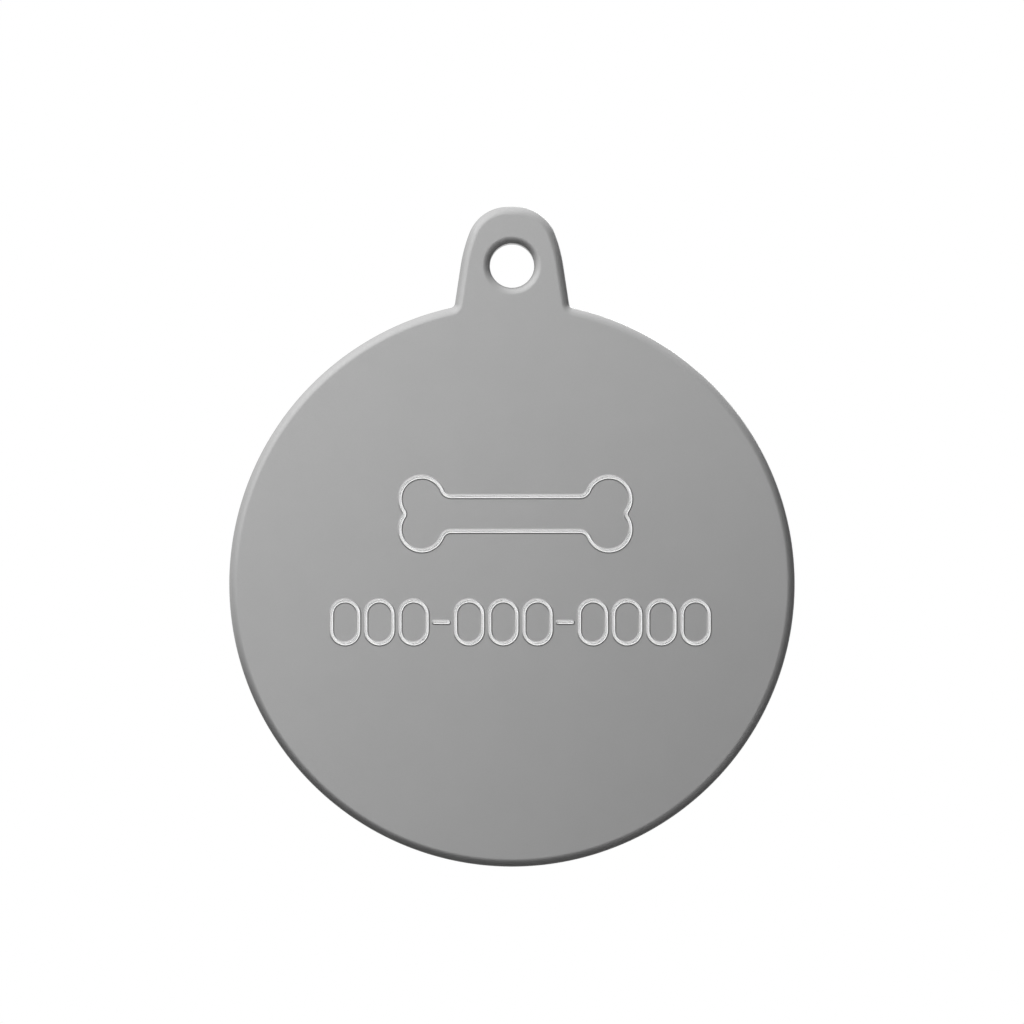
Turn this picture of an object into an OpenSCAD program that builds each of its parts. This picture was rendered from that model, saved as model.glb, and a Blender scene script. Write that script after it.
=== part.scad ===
// Round pet identity tag, one and a quarter inches across, seen with its engraved back towards -Y.
// The metal body carries an ear with a hole for a split ring. Its front is a shallow round tray
// that holds a coated plate on a bonding film, under a dome of clear resin.
// The origin is the centre of the ring hole, halfway through the metal, with +Z up.

/* [Disc] */
// Diameter of the round disc
disc_d = 31.75; // [27:0.25:40]
// Thickness of the metal at the rim
body_t = 2; // [1.7:0.1:3]
// Radius of the rounded edges
edge_r = 0.5; // [0.2:0.05:0.7]

/* [Ear] */
// Diameter of the hole for a split ring
hole_d = 2.5; // [2:0.1:3.5]
// Metal left beside the hole, across the head of the ear
ear_wall = 1.3; // [1:0.05:2]
// Metal left above the hole
crown_wall = 2.05; // [1.4:0.05:3]
// Straight stretch on top of the ear, between its two corner arcs
crown_flat = 0.25; // [0.1:0.05:1]
// Height of the hole's centre above the round disc's edge
hole_rise = 2; // [1.5:0.1:3.5]
// Lean of each flank of the ear, in degrees
flank_lean = 10.4; // [4:0.2:16]

/* [Front tray] */
// Width of the metal rim that is left round the tray
rim_w = 2.1; // [1.2:0.1:3.5]
// Depth of the tray in the front face
tray_depth = 0.9; // [0.8:0.05:1.2]

/* [Plate and film] */
// Thickness of the coated plate
plate_t = 0.5; // [0.3:0.05:0.6]
// Gap all round between the plate and the tray's wall
plate_gap = 0.15; // [0.05:0.05:0.4]
// Thickness of the bonding film
film_t = 0.1; // [0.05:0.05:0.15]
// Distance that the film stays back from the plate's edge
film_inset = 0.4; // [0.1:0.1:1]

/* [Resin dome] */
// Rise of the dome's middle above the metal rim
dome_rise = 0.55; // [0.3:0.05:0.9]
// Gap all round between the resin and the tray's wall
dome_gap = 0.05; // [0.02:0.01:0.1]

/* [Engraved lines] */
// Width of an engraved line
line_w = 0.16; // [0.12:0.01:0.3]
// Depth of an engraved line
line_depth = 0.11; // [0.05:0.01:0.3]

/* [Engraved bone] */
// Length of the bone, to the middle of its line
bone_len = 12.94; // [10:0.1:15]
// Height of the bone at its knuckles, to the middle of its line
bone_h = 4.14; // [3.6:0.1:5]
// Radius of each knuckle
knuckle_r = 1.22; // [1.15:0.01:1.35]
// Height of the bone's shaft
shaft_h = 1.95; // [1.2:0.05:2.2]
// Radius of the notch between the two knuckles of an end
notch_r = 0.3; // [0.22:0.02:0.5]
// Radius where a knuckle runs into the shaft
neck_r = 0.55; // [0.3:0.05:0.8]
// Height of the bone's middle above the disc's centre
bone_rise = 3.93; // [3:0.1:6]
// Shift of the bone to the right of the disc's centre
bone_shift = 0.19; // [-1:0.05:1]

/* [Engraved number] */
// Height of a digit, over its line
digit_h = 2.57; // [2:0.05:3]
// Width of a digit, over its line
digit_w = 1.68; // [1.2:0.02:1.8]
// Length of a dash
dash_w = 0.95; // [0.6:0.05:1.2]
// Gap between neighbouring digits and dashes
digit_gap = 0.24; // [0.15:0.01:0.4]
// Drop of the number's middle below the disc's centre
number_drop = 2.15; // [1:0.05:5]
// Shift of the number to the right of the disc's centre
number_shift = 0.47; // [-1:0.01:1]

/* [Hidden] */
$fn = 96;

disc_r = disc_d / 2;
hole_r = hole_d / 2;
half_t = body_t / 2;
// What a cutting shape reaches past the face that it cuts
overrun = 1;
// The disc's centre below the origin
disc_drop = disc_r + hole_rise;

// The ear's head: two corner arcs, one each side of the crown's straight stretch
ear_r = hole_r + ear_wall;
ear_rise = hole_r + crown_wall - ear_r;
ear_out = crown_flat / 2;

// The front tray and what lies in it, as heights above the tray's floor
tray_r = disc_r - rim_w;
plate_r = tray_r - plate_gap;
film_r = plate_r - film_inset;
dome_r = tray_r - dome_gap;
plate_face = film_t + plate_t;
dome_edge = tray_depth - plate_face;

// The dome's section is a quarter of a superellipse: nearly flat across the middle, rolling over
// at the edge as poured resin does. A higher fullness gives a flatter middle.
dome_fullness = 3;
dome_steps = 12;
dome_section = [
    [0, 0],
    [dome_r, 0],
    for (i = [dome_steps : -1 : 0])
        let (turn = 90 * i / dome_steps)
        [dome_r * sin(turn) ^ (2 / dome_fullness), dome_edge + dome_rise * cos(turn)]
];

// The bone's knuckle centres, the centres of the arcs in its notches and necks, and the
// directions in which a knuckle's arc meets them
knuckle_x = bone_len / 2 - knuckle_r;
knuckle_y = bone_h / 2 - knuckle_r;
notch_turn = asin(knuckle_y / (knuckle_r + notch_r));
notch_x = knuckle_x + (knuckle_r + notch_r) * cos(notch_turn);
neck_y = shaft_h / 2 + neck_r;
neck_turn = 180 - asin((neck_y - knuckle_y) / (knuckle_r + neck_r));
neck_x = knuckle_x + (knuckle_r + neck_r) * cos(neck_turn);
knuckle_steps = 14;
fillet_steps = 4;
function arc_points(x, y, r, from, to, steps) = [
    for (i = [0 : steps])
        let (turn = from + (to - from) * i / steps)
        [x + r * cos(turn), y + r * sin(turn)]
];
// A quarter of the bone's outline, grown by g: half a notch, a knuckle and a neck
function bone_quarter(g) = concat(
    arc_points(notch_x, 0, notch_r - g, 180, 180 - notch_turn, fillet_steps),
    arc_points(knuckle_x, knuckle_y, knuckle_r + g, -notch_turn, neck_turn, knuckle_steps),
    arc_points(neck_x, neck_y, neck_r - g, neck_turn + 180, 270, fillet_steps)
);

// The number is three groups of plain zeros, with a dash between each two groups.
// A zero is two half circles and two straight sides, to the middle of its line.
groups = [3, 3, 4];
zero_r = (digit_w - line_w) / 2;
zero_side = digit_h - digit_w;
digit_step = digit_w + digit_gap;
dash_step = dash_w + digit_gap;
function digits_before(g) = g == 0 ? 0 : groups[g - 1] + digits_before(g - 1);
function group_x(g) = digits_before(g) * digit_step + g * dash_step;
number_w = group_x(len(groups) - 1) + groups[len(groups) - 1] * digit_step - digit_gap;

// How far along a flank, from its foot on the corner arc, it comes within r of the disc's centre
function flank_reach(r) =
    let (foot = [ear_out + ear_r * cos(flank_lean), ear_rise + ear_r * sin(flank_lean) + disc_drop],
         way = [sin(flank_lean), -cos(flank_lean)],
         along = foot * way)
    -along - sqrt(along ^ 2 - foot * foot + r ^ 2);
// The flanks end inside the disc, past its rounded edge
flank_len = flank_reach(disc_r - 2 * edge_r);

// Stands a shape drawn on the back face up, so that the back faces -Y
module stand() {
    rotate([90, 0, 0]) children();
}

// Carries a shape from the origin to the disc's centre, on the drawing of the back face
module at_disc() {
    translate([0, -disc_drop, 0]) children();
}

// Half a section through the metal: a slab whose outer edge is rounded on both faces
module slab_section(reach) {
    difference() {
        translate([0, -half_t]) square([reach, body_t]);
        for (face = [-1, 1])
            scale([1, face])
                translate([reach - edge_r, half_t - edge_r])
                    difference() {
                        square(edge_r + overrun);
                        circle(edge_r);
                    }
    }
}

module disc_slab() {
    at_disc() rotate_extrude() slab_section(disc_r);
}

// Right half of the ear, about the centre of its corner arc
module ear_half() {
    translate([ear_out, ear_rise, 0]) rotate([0, 0, flank_lean]) {
        rotate_extrude(angle = 90 - flank_lean) slab_section(ear_r);
        rotate([90, 0, 0]) linear_extrude(flank_len) slab_section(ear_r);
    }
}

module ear_slab() {
    foot_x = ear_out + flank_len * sin(flank_lean);
    foot_y = ear_rise - flank_len * cos(flank_lean);
    for (side = [0, 1]) mirror([side, 0, 0]) ear_half();
    translate([-ear_out, ear_rise, 0])
        rotate([90, 0, 90]) linear_extrude(crown_flat) slab_section(ear_r);
    translate([0, 0, -half_t]) linear_extrude(body_t)
        polygon([[-ear_out, ear_rise], [ear_out, ear_rise], [foot_x, foot_y], [-foot_x, foot_y]]);
}

// The bore for the split ring, flared by the edge radius at both faces
module ring_bore() {
    rotate_extrude() difference() {
        union() {
            translate([0, -half_t - overrun]) square([hole_r, body_t + 2 * overrun]);
            for (face = [-1, 1])
                scale([1, face])
                    translate([0, half_t - edge_r]) square([hole_r + edge_r, edge_r + overrun]);
        }
        for (face = [-1, 1])
            translate([hole_r + edge_r, face * (half_t - edge_r)]) circle(edge_r);
    }
}

module front_tray() {
    at_disc() translate([0, 0, -half_t - overrun]) cylinder(r = tray_r, h = tray_depth + overrun);
}

// An arc of an engraved line, about the origin
module arc_cut(r, from, to) {
    rotate([0, 0, from]) rotate_extrude(angle = to - from)
        translate([r - line_w / 2, 0]) square([line_w, line_depth + overrun]);
}

// A straight stretch of an engraved line, from the origin along X
module straight_cut(reach) {
    translate([0, -line_w / 2, 0]) cube([reach, line_w, line_depth + overrun]);
}

module zero_cut() {
    for (side = [0, 1]) {
        mirror([0, side, 0]) translate([0, zero_side / 2, 0]) arc_cut(zero_r, 0, 180);
        mirror([side, 0, 0]) translate([zero_r, -zero_side / 2, 0])
            rotate([0, 0, 90]) straight_cut(zero_side);
    }
}

// A dash with round ends, centred on the origin
module dash_cut() {
    reach = dash_w - line_w;
    translate([-reach / 2, 0, 0]) straight_cut(reach);
    for (end = [0, 1]) mirror([end, 0, 0]) translate([reach / 2, 0, 0]) arc_cut(line_w / 2, -90, 90);
}

module number_cut() {
    translate([number_shift - number_w / 2, -number_drop, 0])
        for (g = [0 : len(groups) - 1]) translate([group_x(g), 0, 0]) {
            for (i = [0 : groups[g] - 1])
                translate([i * digit_step + digit_w / 2, 0, 0]) zero_cut();
            if (g > 0)
                translate([-digit_gap - dash_w / 2, 0, 0]) dash_cut();
        }
}

// A filled bone, grown by g past the middle of its line
module bone(g) {
    quarter = bone_quarter(g);
    for (end = [0, 1], side = [0, 1]) mirror([end, 0]) mirror([0, side])
        polygon(concat([[0, 0]], quarter, [[0, shaft_h / 2 + g]]));
}

module bone_cut() {
    translate([bone_shift, bone_rise, 0]) linear_extrude(line_depth + overrun) difference() {
        bone(line_w / 2);
        bone(-line_w / 2);
    }
}

// The engraved lines, as the shape that the cutter takes out of the back face
module engraving() {
    at_disc() translate([0, 0, half_t - line_depth]) {
        number_cut();
        bone_cut();
    }
}

// Satin metal body: disc, ear, ring hole, front tray and engraved back
module tag_body() {
    color("darkgray") stand() difference() {
        union() {
            disc_slab();
            ear_slab();
        }
        ring_bore();
        front_tray();
        engraving();
    }
}

// Places a shape on the tray's floor, with its height growing out of the front face
module in_tray() {
    stand() at_disc() translate([0, 0, tray_depth - half_t]) mirror([0, 0, 1]) children();
}

module bonding_film() {
    color("lightyellow") in_tray() cylinder(r = film_r, h = film_t);
}

module face_plate() {
    color("white") in_tray() translate([0, 0, film_t]) cylinder(r = plate_r, h = plate_t);
}

// Clear resin, level with the rim at its edge and crowned in the middle
module resin_dome() {
    color("lightcyan", 0.4) in_tray() translate([0, 0, plate_face])
        rotate_extrude() polygon(dome_section);
}

tag_body();
bonding_film();
face_plate();
resin_dome();
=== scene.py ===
import math

import bmesh
import bpy
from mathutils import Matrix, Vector
from mathutils.geometry import delaunay_2d_cdt


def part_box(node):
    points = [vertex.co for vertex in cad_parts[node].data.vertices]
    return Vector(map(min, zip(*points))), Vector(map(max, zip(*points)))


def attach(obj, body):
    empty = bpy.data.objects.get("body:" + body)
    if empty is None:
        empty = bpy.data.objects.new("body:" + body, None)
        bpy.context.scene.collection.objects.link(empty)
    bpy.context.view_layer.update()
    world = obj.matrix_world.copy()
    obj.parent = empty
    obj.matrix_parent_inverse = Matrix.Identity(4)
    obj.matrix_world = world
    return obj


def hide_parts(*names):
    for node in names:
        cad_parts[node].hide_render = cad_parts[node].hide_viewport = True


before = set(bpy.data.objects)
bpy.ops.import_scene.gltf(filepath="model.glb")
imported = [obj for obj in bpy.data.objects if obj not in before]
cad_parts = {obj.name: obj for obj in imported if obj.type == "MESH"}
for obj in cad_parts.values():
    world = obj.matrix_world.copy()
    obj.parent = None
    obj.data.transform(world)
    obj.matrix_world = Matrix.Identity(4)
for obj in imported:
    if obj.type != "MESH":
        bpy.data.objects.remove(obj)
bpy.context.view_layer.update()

# Metal body: one piece of stamped steel, a round disc with an ear that is drilled for a split ring.
# Its edges are tumbled round and the whole is blasted to an even satin grey. The front is sunk to
# a shallow tray, and the back is engraved by a small cutter that leaves fresh, paler metal.
mm = 0.001
scene = bpy.context.scene
body_lo, body_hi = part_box("tag_body")
disc_r = (body_hi.x - body_lo.x) / 2
half_t = (body_hi.y - body_lo.y) / 2
disc_centre = Vector((0, body_lo.z + disc_r))
disc_steps = 260

# Down each side of the ear: a corner arc from its flat crown, a long shoulder and a straight flank.
# The corner's centre is ear_out from the middle, which is half the crown's flat.
crown = body_hi.z
ear_r, ear_out = 2.31 * mm, 0.24 * mm
shoulder_r, shoulder_lean = 8.9 * mm, math.radians(21)
flank_lean = math.radians(8.6)
# The small hollow where the ear runs into the disc
root_r = 0.3 * mm
corner_steps, shoulder_steps, root_steps = 26, 12, 8

# The rounding of an edge. A fullness of 1 would be a flat chamfer, and 2 an ellipse.
edge_w, edge_drop = 0.45 * mm, 0.28 * mm
edge_fullness = 1.65
edge_steps = 12
# A flat margin inside each rounded edge keeps its shading off the flat face
margin = 0.03 * mm

# The mouth of the bore is rounded less far, and meets the bore at a corner
hole_r = 1.25 * mm
bore_edge_w, bore_turn = 0.4 * mm, math.radians(66)
bore_steps = 112

rim_w = 2.1 * mm
tray_r = disc_r - rim_w
tray_depth = 0.9 * mm
tray_lip_r = 0.08 * mm
tray_steps, lip_steps = 224, 4

# Neighbouring points of an outline are one when they lie as near as this, and the turn between
# their ways out has at least this cosine
same_place, same_way = 1e-8, 0.9999
# A flat face is cut into triangles with its holes left out, and points as near as this made one
without_holes, nearest = 2, 1e-7
# Two faces that turn by more than this meet in a sharp corner
sharp_turn = math.radians(35)


def arc(centre, r, start, end, steps, hollow=False):
    """Points along an arc, each with the way out of the metal there. A hollow arc bends into it."""
    line = []
    for i in range(steps + 1):
        turn = start + (end - start) * i / steps
        way = Vector((math.cos(turn), math.sin(turn)))
        line.append((centre + r * way, -way if hollow else way))
    return line


def closed(*stretches):
    """One closed outline, made of stretches that meet end to end."""
    line = [step for stretch in stretches for step in stretch]
    kept = []
    for (at, way), (last_at, last_way) in zip(line, line[-1:] + line):
        if (at - last_at).length > same_place or way.dot(last_way) < same_way:
            kept.append((at, way))
    return kept


def circle(centre, r, steps, hollow=False):
    """A full circle as a closed outline."""
    return closed(arc(centre, r, 0, 2 * math.pi, steps, hollow))


def mirrored(line):
    """A stretch of outline on the other side of the tag's middle, still running the same way round."""
    return [(Vector((-at.x, at.y)), Vector((-way.x, way.y))) for at, way in reversed(line)]


def tag_outline():
    """The disc and its ear, from the left root of the ear round the disc and over the crown."""
    corner = Vector((ear_out, crown - ear_r))
    across = Vector((math.cos(shoulder_lean), math.sin(shoulder_lean)))
    shoulder = corner - (shoulder_r - ear_r) * across
    # The hollow at the root touches flank and disc, so its centre runs down beside the flank
    out = Vector((math.cos(flank_lean), math.sin(flank_lean)))
    down = Vector((out.y, -out.x))
    start = shoulder + (shoulder_r + root_r) * out - disc_centre
    along = start.dot(down)
    reach = -along - math.sqrt(along ** 2 - start.length_squared + (disc_r + root_r) ** 2)
    root = disc_centre + start + reach * down
    turn = math.atan2(root.y - disc_centre.y, root.x - disc_centre.x)
    side = arc(root, root_r, turn + math.pi, flank_lean + math.pi, root_steps, hollow=True)
    side += arc(shoulder, shoulder_r, flank_lean, shoulder_lean, shoulder_steps)
    side += arc(corner, ear_r, shoulder_lean, math.pi / 2, corner_steps)
    disc = arc(disc_centre, disc_r, -math.pi - turn, turn, disc_steps)
    return closed(disc, side, mirrored(side))


def row(bm, outline, inset, y):
    """A closed row of points, inset from an outline into the metal, at y through the tag."""
    places = [at - inset * way for at, way in outline]
    return [bm.verts.new((at.x, y, at.y)) for at in places]


def skin(bm, rows, material=0):
    """Faces between neighbouring rows."""
    for near, far in zip(rows, rows[1:]):
        for i, (a, b) in enumerate(zip(near, far)):
            face = bm.faces.new((near[i - 1], a, b, far[i - 1]))
            face.material_index = material


def edge_rows(bm, outline, w, last=math.pi / 2):
    """Rows over an edge that is rounded at both faces, from the back face to the front face. The
    rounding is a stretch of a superellipse up to the turn last, where it meets the side."""
    power = 2 / edge_fullness
    section = [(w + margin, 0)]
    for i in range(edge_steps + 1):
        turn = last * i / edge_steps
        reach = (math.sin(turn) / math.sin(last)) ** power
        section.append((w * (1 - reach), edge_drop * (1 - math.cos(turn) ** power)))
    back = [row(bm, outline, inset, depth - half_t) for inset, depth in section]
    front = [row(bm, outline, inset, half_t - depth) for inset, depth in reversed(section)]
    return back + front


def fill(bm, rows, material=0):
    """Flat metal between rows that lie in one plane: inside the first, and round the others."""
    points = [point for one in rows for point in one]
    flat = [Vector((point.co.x, point.co.z)) / mm for point in points]
    number = {point: i for i, point in enumerate(points)}
    loops = [[number[point] for point in one] for one in rows]
    _, _, faces, source, _, _ = delaunay_2d_cdt(flat, [], loops, without_holes, nearest)
    for face in faces:
        bm.faces.new([points[source[i][0]] for i in face]).material_index = material


bm = bmesh.new()
rim = edge_rows(bm, tag_outline(), edge_w)
bore = edge_rows(bm, circle(Vector((0, 0)), hole_r, bore_steps, hollow=True), bore_edge_w, bore_turn)
skin(bm, rim)
skin(bm, bore)

# The tray's wall, from its rounded lip down to the rounded corner at its floor
tray_wall = circle(disc_centre, tray_r, tray_steps, hollow=True)
lip_turns = [math.pi / 2 * i / lip_steps for i in range(lip_steps + 1)]
lip = [(tray_lip_r * (1 - math.sin(t)), tray_lip_r * (1 - math.cos(t))) for t in lip_turns]
foot = [(-depth, tray_depth - inset) for inset, depth in lip]
tray_section = [(tray_lip_r + margin, 0)] + lip + foot + [(-tray_lip_r - margin, tray_depth)]
tray = [row(bm, tray_wall, inset, half_t - depth) for inset, depth in tray_section]
skin(bm, tray)
fill(bm, [tray[-1]])
fill(bm, [rim[-1], bore[-1], tray[0]])

# The engraved lines: a plain bone outline over a row of plain zeros. A line is a groove that
# narrows to a small floor, between two low burrs.
line_w, line_depth = 0.16 * mm, 0.11 * mm
floor_w = 0.02 * mm
burr_w, burr_h = 0.07 * mm, 0.032 * mm
slope_steps = 6
cut_metal = 1

bone_len, bone_h = 12.94 * mm, 4.14 * mm
knuckle_r, shaft_h = 1.22 * mm, 1.95 * mm
notch_r, neck_r = 0.3 * mm, 0.55 * mm
knuckle_steps, notch_steps, neck_steps = 40, 6, 10
bone_centre = disc_centre + Vector((0.19, 3.93)) * mm

digit_h, digit_w, dash_w, digit_gap = 2.57 * mm, 1.68 * mm, 0.95 * mm, 0.24 * mm
digit_steps = 24
number_centre = disc_centre + Vector((0.47, -2.15)) * mm
groups = [3, 3, 4]


def bone_outline():
    """The bone to the middle of its line: at each end two knuckles, a notch and two necks."""
    knuckle = Vector((bone_len / 2 - knuckle_r, bone_h / 2 - knuckle_r))
    notch_turn = math.asin(knuckle.y / (knuckle_r + notch_r))
    notch = Vector((knuckle.x + (knuckle_r + notch_r) * math.cos(notch_turn), 0))
    rise = shaft_h / 2 + neck_r - knuckle.y
    neck_turn = math.pi - math.asin(rise / (knuckle_r + neck_r))
    neck = knuckle + (knuckle_r + neck_r) * Vector((math.cos(neck_turn), math.sin(neck_turn)))
    upper = arc(notch, notch_r, math.pi, math.pi - notch_turn, notch_steps, hollow=True)
    upper += arc(knuckle, knuckle_r, -notch_turn, neck_turn, knuckle_steps)
    upper += arc(neck, neck_r, neck_turn + math.pi, 1.5 * math.pi, neck_steps, hollow=True)
    half = upper + mirrored(upper)
    lower = [(-at, -way) for at, way in half]
    return [(at + bone_centre, way) for at, way in closed(half, lower)]


def capsule(centre, w, h):
    """A closed line with round ends, w wide and h high to the middle of the line."""
    r = min(w, h) / 2
    apart = Vector((w / 2 - r, h / 2 - r))
    turn = 0 if h > w else -math.pi / 2
    near = arc(centre + apart, r, turn, turn + math.pi, digit_steps)
    far = arc(centre - apart, r, turn + math.pi, turn + 2 * math.pi, digit_steps)
    return closed(near, far)


def number_lines():
    """The zeros as closed lines, and the middle of each dash."""
    zeros, dashes, x = [], [], 0
    for count in groups:
        for _ in range(count):
            zeros.append(x + digit_w / 2)
            x += digit_w + digit_gap
        dashes.append(x + dash_w / 2)
        x += dash_w + digit_gap
    # The last group has no dash after it
    dashes.pop()
    shift = number_centre - Vector(((x - dash_w - 2 * digit_gap) / 2, 0))
    places = [shift + Vector((at, 0)) for at in zeros]
    zeros = [capsule(place, digit_w - line_w, digit_h - line_w) for place in places]
    return zeros, [shift + Vector((at, 0)) for at in dashes]


def groove_rows(bm, outline, side):
    """Rows from the flat face over the burr and down the wall of a groove, on one side of its middle."""
    rows = [row(bm, outline, -side * (line_w / 2 + burr_w + margin), -half_t)]
    for i in range(2 * slope_steps + 1):
        share = i / slope_steps
        ease = (1 - math.cos(math.pi * share)) / 2
        if share <= 1:
            reach, height = line_w / 2 + burr_w * (1 - share), burr_h * ease
        else:
            reach = line_w / 2 - (line_w - floor_w) / 2 * (share - 1)
            height = burr_h * ease - line_depth * (1 - ease)
        rows.append(row(bm, outline, -side * reach, -half_t - height))
    return rows


def engrave(bm, outline, whole=False):
    """Cuts a groove along a closed line, or a whole pocket inside it, and returns the rows at which
    the cut leaves the flat face."""
    sides = [groove_rows(bm, outline, 1)]
    if whole:
        fill(bm, [sides[0][-1]], cut_metal)
    else:
        sides.append(groove_rows(bm, outline, -1))
        skin(bm, [sides[0][-1], sides[1][-1]], cut_metal)
    for rows in sides:
        skin(bm, rows[:slope_steps + 2])
        skin(bm, rows[slope_steps + 1:], cut_metal)
    return [rows[0] for rows in sides]


zeros, dashes = number_lines()
cuts = engrave(bm, bone_outline())
for line in zeros:
    cuts += engrave(bm, line)
for middle in dashes:
    cuts += engrave(bm, capsule(middle, dash_w - line_w, 0), whole=True)
fill(bm, [rim[0], bore[0]] + cuts)
bmesh.ops.recalc_face_normals(bm, faces=bm.faces)


def piece(name, bm, *materials):
    """A piece of the object made from its mesh, smooth but for its sharp corners."""
    mesh = bpy.data.meshes.new(name)
    bm.to_mesh(mesh)
    bm.free()
    mesh.shade_smooth()
    mesh.set_sharp_from_angle(angle=sharp_turn)
    for material in materials:
        mesh.materials.append(material)
    made = bpy.data.objects.new(name, mesh)
    scene.collection.objects.link(made)
    return made


def new_material(name, **sockets):
    """A material whose even values are set on its shader. Returns it with its nodes, links and shader."""
    material = bpy.data.materials.new(name)
    material.use_nodes = True
    tree = material.node_tree
    shader = tree.nodes["Principled BSDF"]
    for socket, value in sockets.items():
        shader.inputs[socket.replace("_", " ")].default_value = value
    return material, tree.nodes, tree.links, shader


def grain(nodes, links, size, detail=3):
    """Noise whose spots are about size across, on the piece's own coordinates."""
    place = nodes.new("ShaderNodeTexCoord")
    spots = nodes.new("ShaderNodeTexNoise")
    spots.inputs["Scale"].default_value = 1 / size
    spots.inputs["Detail"].default_value = detail
    links.new(place.outputs["Object"], spots.inputs["Vector"])
    return spots.outputs["Fac"]


def spread(nodes, links, value, low, high, start=0.3, end=0.7):
    """A value that runs from start to end, as most of a noise does, spread out from low to high.
    A colour that takes it is a grey."""
    ramp = nodes.new("ShaderNodeMapRange")
    for socket, number in (("From Min", start), ("From Max", end), ("To Min", low), ("To Max", high)):
        ramp.inputs[socket].default_value = number
    links.new(value, ramp.inputs["Value"])
    return ramp.outputs["Result"]


def bump(nodes, links, shader, height, depth):
    """Fine relief of that depth in metres."""
    relief = nodes.new("ShaderNodeBump")
    relief.inputs["Distance"].default_value = depth
    links.new(height, relief.inputs["Height"])
    links.new(relief.outputs["Normal"], shader.inputs["Normal"])


def satin_metal():
    """Blasted grey steel: soft clouds over a fine grain."""
    cloud_size, grain_size, grain_depth = 2.5 * mm, 0.09 * mm, 0.0015 * mm
    grey, roughness = (0.412, 0.420), (0.40, 0.48)
    material, nodes, links, shader = new_material("satin_metal", Metallic=1)
    clouds = grain(nodes, links, cloud_size)
    fine = grain(nodes, links, grain_size, detail=2)
    links.new(spread(nodes, links, clouds, *grey), shader.inputs["Base Color"])
    links.new(spread(nodes, links, fine, *roughness), shader.inputs["Roughness"])
    bump(nodes, links, shader, fine, grain_depth)
    return material


def fresh_cut():
    """Bare metal in the engraved lines, paler and torn a little by the cutter."""
    tear_size, tear_depth = 0.06 * mm, 0.004 * mm
    grey, roughness = (0.82, 0.92), (0.5, 0.62)
    material, nodes, links, shader = new_material("fresh_cut", Metallic=0.25)
    torn = grain(nodes, links, tear_size, detail=2)
    links.new(spread(nodes, links, torn, *grey), shader.inputs["Base Color"])
    links.new(spread(nodes, links, torn, *roughness), shader.inputs["Roughness"])
    bump(nodes, links, shader, torn, tear_depth)
    return material


tag = piece("satin_body", bm, satin_metal(), fresh_cut())
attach(tag, "root")
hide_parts("tag_body")

# Bonding film: a clear, slightly yellow adhesive sheet, cut a little smaller than the plate that it
# holds to the tray's floor.
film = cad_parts["bonding_film"]
deep_tint, pale_tint = (0.76, 0.73, 0.62, 1), (0.84, 0.82, 0.74, 1)


def adhesive():
    """Soft clear film with a faint ripple from being rolled down."""
    ripple_size, roughness = 1.2 * mm, (0.3, 0.5)
    material, nodes, links, shader = new_material("adhesive", Transmission_Weight=0.4, IOR=1.47)
    ripple = grain(nodes, links, ripple_size)
    tint = nodes.new("ShaderNodeMix")
    tint.data_type = "RGBA"
    tint.inputs["A"].default_value = deep_tint
    tint.inputs["B"].default_value = pale_tint
    links.new(ripple, tint.inputs["Factor"])
    links.new(tint.outputs["Result"], shader.inputs["Base Color"])
    links.new(spread(nodes, links, ripple, *roughness), shader.inputs["Roughness"])
    return material


film.data.materials.clear()
film.data.materials.append(adhesive())

# Face plate: a round of thin aluminium with a satin white coat, punched from a sheet and pressed
# into the tray. Nothing is printed on it.
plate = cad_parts["face_plate"]


def white_coat():
    """Baked white coat with the fine peel that a spray leaves."""
    cloud_size, peel_size, peel_depth = 4 * mm, 0.25 * mm, 0.004 * mm
    grey, roughness = (0.80, 0.81), (0.3, 0.42)
    material, nodes, links, shader = new_material("white_coat", Coat_Weight=0.2)
    clouds = grain(nodes, links, cloud_size)
    peel = grain(nodes, links, peel_size, detail=1)
    links.new(spread(nodes, links, clouds, *grey), shader.inputs["Base Color"])
    links.new(spread(nodes, links, peel, *roughness), shader.inputs["Roughness"])
    bump(nodes, links, shader, peel, peel_depth)
    return material


plate.data.materials.clear()
plate.data.materials.append(white_coat())

# Resin dome: clear resin, poured over the plate until it stands at the rim and held there by its
# own surface as it sets, so that its edge rolls over and its middle is nearly flat.
dome_lo, dome_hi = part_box("resin_dome")
dome_r = (dome_hi.x - dome_lo.x) / 2
dome_rise = dome_hi.y - half_t
# A higher fullness gives a flatter middle
dome_fullness = 3
round_steps, dome_steps = 224, 40


def larger(nodes, links, one, other):
    """The larger of two values."""
    either = nodes.new("ShaderNodeMath")
    either.operation = "MAXIMUM"
    links.new(one, either.inputs[0])
    links.new(other, either.inputs[1])
    return either.outputs[0]


def open_up(nodes, links, shader, share):
    """Lets that share of the light straight through a surface, as if it weren't there."""
    through = nodes.new("ShaderNodeBsdfTransparent")
    mix = nodes.new("ShaderNodeMixShader")
    links.new(share, mix.inputs["Fac"])
    links.new(shader.outputs["BSDF"], mix.inputs[1])
    links.new(through.outputs["BSDF"], mix.inputs[2])
    links.new(mix.outputs["Shader"], nodes["Material Output"].inputs["Surface"])


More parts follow.
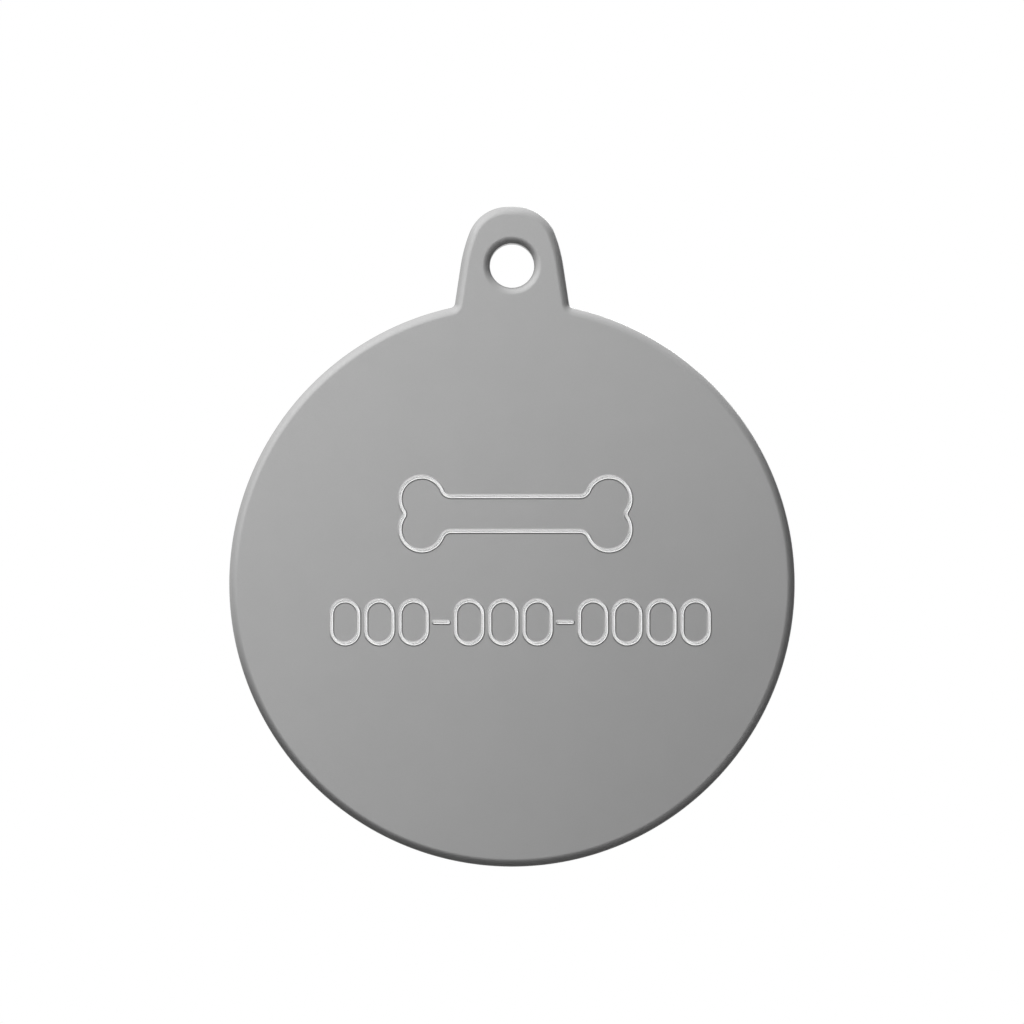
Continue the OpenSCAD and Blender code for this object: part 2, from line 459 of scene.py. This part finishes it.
def clear_resin():
    """Clear cast resin, glossy, with the faint waves of a poured surface. It lets light through to
    the plate, and doesn't shade it as a solid piece would."""
    wave_size, wave_depth, roughness = 3 * mm, 0.01 * mm, (0.02, 0.05)
    material, nodes, links, shader = new_material(
        "clear_resin", Base_Color=(0.97, 0.985, 0.99, 1), Transmission_Weight=1, IOR=1.5
    )
    waves = grain(nodes, links, wave_size, detail=1)
    links.new(spread(nodes, links, waves, *roughness), shader.inputs["Roughness"])
    bump(nodes, links, shader, waves, wave_depth)
    path = nodes.new("ShaderNodeLightPath").outputs
    open_up(nodes, links, shader, larger(nodes, links, path["Is Shadow Ray"], path["Is Diffuse Ray"]))
    return material


bm = bmesh.new()
dome_outline = circle(disc_centre, dome_r, round_steps)
dome_rows = [row(bm, dome_outline, 0, dome_lo.y)]
for i in range(dome_steps, 0, -1):
    turn = math.pi / 2 * i / dome_steps
    inset = dome_r * (1 - math.sin(turn) ** (2 / dome_fullness))
    dome_rows.append(row(bm, dome_outline, inset, half_t + dome_rise * math.cos(turn)))
skin(bm, dome_rows)
fill(bm, [dome_rows[0]])
summit = bm.verts.new((disc_centre.x, dome_hi.y, disc_centre.y))
top = dome_rows[-1]
for i, point in enumerate(top):
    bm.faces.new((top[i - 1], point, summit))
bmesh.ops.recalc_face_normals(bm, faces=bm.faces)
dome = piece("clear_dome", bm, clear_resin())
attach(dome, "root")
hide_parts("resin_dome")

# Camera: level, square to the engraved back, and far enough off that the rim's sides don't show.
# It stands a little above the disc's centre, and so frames disc and ear.
camera_distance, camera_rise = 320.1 * mm, 4.04 * mm
camera_data = bpy.data.cameras.new("camera")
camera_data.lens, camera_data.sensor_width = 200, 36
camera_data.clip_start, camera_data.clip_end = 0.01, 10
camera = bpy.data.objects.new("camera", camera_data)
camera.location = (0, -camera_distance, disc_centre.y + camera_rise)
camera.rotation_euler = (math.pi / 2, 0, 0)
scene.collection.objects.link(camera)
scene.camera = camera

# Studio: a pale floor well under the hanging tag, three soft lamps high on the left for the back
# and two more for the front. Two dark cards low on the right darken that side of rim and face.
floor_z = -75 * mm
floor_solid_r, floor_r = 100 * mm, 190 * mm
floor_steps = 96


def pale_floor():
    """Matt pale floor that thins out to nothing at its rim, so that it ends unseen against white.
    From below it is clear."""
    material, nodes, links, shader = new_material(
        "pale_floor", Base_Color=(0.9, 0.9, 0.9, 1), Roughness=0.9, Specular_IOR_Level=0
    )
    place = nodes.new("ShaderNodeTexCoord")
    distance = nodes.new("ShaderNodeVectorMath")
    distance.operation = "LENGTH"
    links.new(place.outputs["Object"], distance.inputs[0])
    thinning = spread(nodes, links, distance.outputs["Value"], 0, 1, floor_solid_r, floor_r)
    under = nodes.new("ShaderNodeNewGeometry").outputs["Backfacing"]
    open_up(nodes, links, shader, larger(nodes, links, thinning, under))
    return material


bm = bmesh.new()
bmesh.ops.create_circle(bm, cap_ends=True, segments=floor_steps, radius=floor_r)
floor = piece("floor", bm, pale_floor())
floor.location.z = floor_z
floor.visible_glossy = False


def aim(thing, turn, off_axis, distance, front=False):
    """Puts a lamp or card round the tag: turn runs from the right over the top, as seen from the
    side that it lights, and off_axis is its angle from straight in front of that side."""
    turn, off_axis = math.radians(turn), math.radians(off_axis)
    side = 1 if front else -1
    out = math.sin(off_axis)
    way = Vector((-side * math.cos(turn) * out, side * math.cos(off_axis), math.sin(turn) * out))
    middle = Vector((0, 0, disc_centre.y))
    thing.location = middle + distance * way
    thing.rotation_euler = way.to_track_quat("Z", "Y").to_euler()


def soft_lamp(name, size, brightness, **place):
    """A square area lamp whose face has that brightness, where 1 is white."""
    data = bpy.data.lights.new(name, "AREA")
    data.shape, data.size = "SQUARE", size
    data.energy = brightness * math.pi * size ** 2
    lamp = bpy.data.objects.new(name, data)
    scene.collection.objects.link(lamp)
    aim(lamp, **place)
    lamp.visible_camera = False
    return lamp


def dark_card(name, bm, grey):
    """A dark card. Only the metal's gloss sees it."""
    material, _, _, _ = new_material(
        name, Base_Color=(grey, grey, grey, 1), Roughness=1, Specular_IOR_Level=0
    )
    card = piece(name, bm, material)
    card.visible_camera = card.visible_diffuse = card.visible_shadow = card.visible_transmission = False
    return card


# Bent round the tag on its lower right, far off, and open to the front
rim_card_r, rim_card_back, rim_card_front = 150 * mm, 300 * mm, 90 * mm
rim_card_start, rim_card_end = math.radians(194), math.radians(394)
rim_card_steps = 60
bm = bmesh.new()
bend = arc(disc_centre, rim_card_r, rim_card_start, rim_card_end, rim_card_steps)
near, far = row(bm, bend, 0, -rim_card_back), row(bm, bend, 0, rim_card_front)
for a, b, c, d in zip(near, near[1:], far[1:], far):
    bm.faces.new((a, b, c, d))
dark_card("rim_card", bm, grey=0.14)

# Flat and nearer, low on the right, so that the face darkens towards it
face_card_size = 90 * mm
bm = bmesh.new()
bmesh.ops.create_grid(bm, x_segments=1, y_segments=1, size=face_card_size / 2)
aim(dark_card("face_card", bm, grey=0.25), turn=-38, off_axis=32, distance=110 * mm)

# Of the back's three lamps the metal shows two, and the third lights only what is matt
soft_lamp("rim_key", size=300 * mm, brightness=0.62, turn=112, off_axis=82, distance=170 * mm)
soft_lamp("face_key", size=92 * mm, brightness=0.65, turn=138, off_axis=34, distance=125 * mm)
matt_key = soft_lamp("matt_key", size=150 * mm, brightness=7, turn=130, off_axis=60, distance=240 * mm)
matt_key.visible_glossy = False
soft_lamp(
    "front_key", size=160 * mm, brightness=4.5, turn=120, off_axis=50, distance=300 * mm, front=True
)
soft_lamp(
    "front_glint", size=60 * mm, brightness=10, turn=125, off_axis=15, distance=400 * mm, front=True
)

# The world is white to the camera, in gloss and through resin, and lights matt surfaces more softly
world = bpy.data.worlds.new("studio")
scene.world = world
world.use_nodes = True
sky_nodes, sky_links = world.node_tree.nodes, world.node_tree.links
background = sky_nodes["Background"]
background.inputs["Color"].default_value = (1, 1, 1, 1)
ambient = 0.4
path = sky_nodes.new("ShaderNodeLightPath").outputs
seen = larger(sky_nodes, sky_links, path["Is Camera Ray"], path["Is Glossy Ray"])
seen = larger(sky_nodes, sky_links, seen, path["Is Transmission Ray"])
strength = spread(sky_nodes, sky_links, seen, ambient, 1, start=0, end=1)
sky_links.new(strength, background.inputs["Strength"])

scene.view_settings.view_transform = "Standard"
